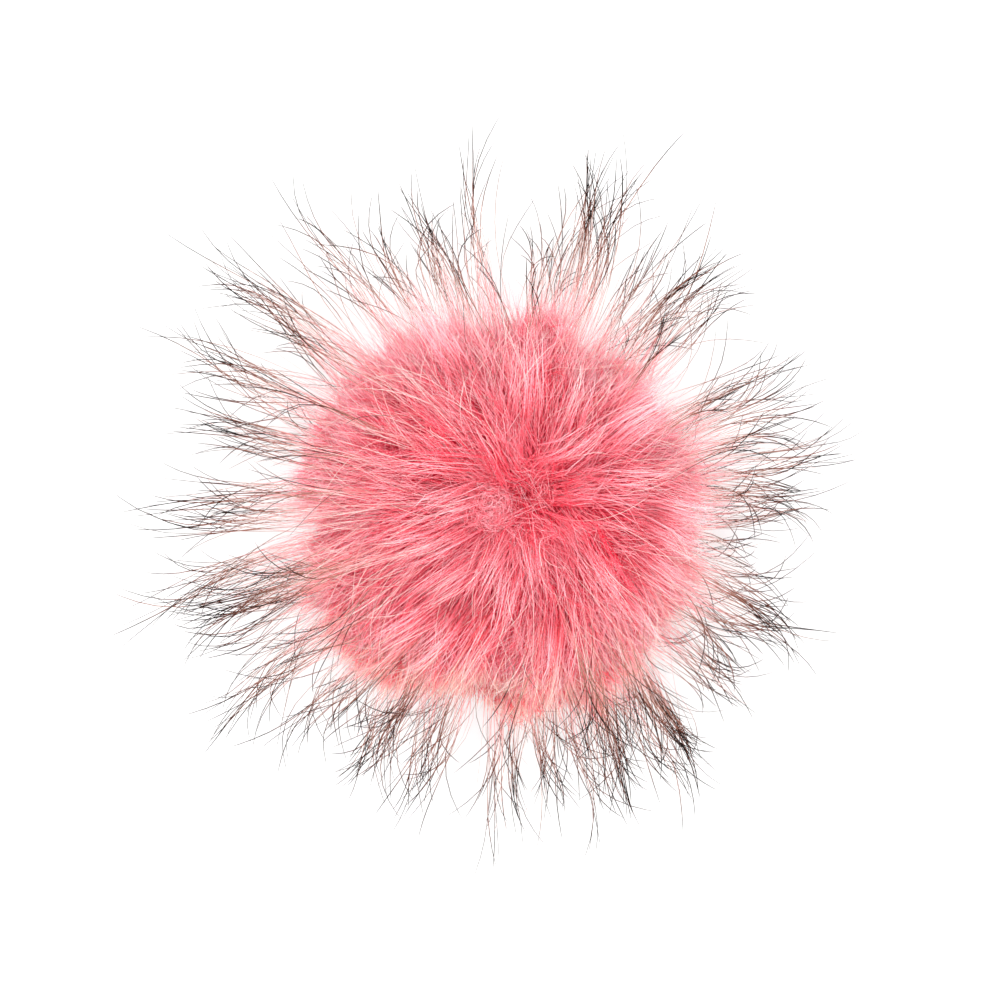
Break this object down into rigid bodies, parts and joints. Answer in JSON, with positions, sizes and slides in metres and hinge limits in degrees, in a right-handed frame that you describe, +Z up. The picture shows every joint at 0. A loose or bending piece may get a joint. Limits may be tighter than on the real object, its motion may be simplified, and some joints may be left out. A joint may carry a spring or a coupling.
{
  "type": "fur pom pom",
  "caption": "Round ball of dyed long-haired fur with dark-tipped guard hair standing out all round, gathered on its back and lying on it.",
  "frame": {"origin": "middle of the footprint, on the surface that the ball rests on with its gathered back", "axes": "+Z up through the whorl on top, the way the fur opens; +X and +Y across the ball"},
  "size_m": [0.1564, 0.1528, 0.0726],
  "materials": {
    "fur": "long soft fur dyed coral pink, guard hair turning brown to near black at its tips"
  },
  "bodies": {
    "root": {"fur_ball": "fur"}
  },
  "joints": []
}
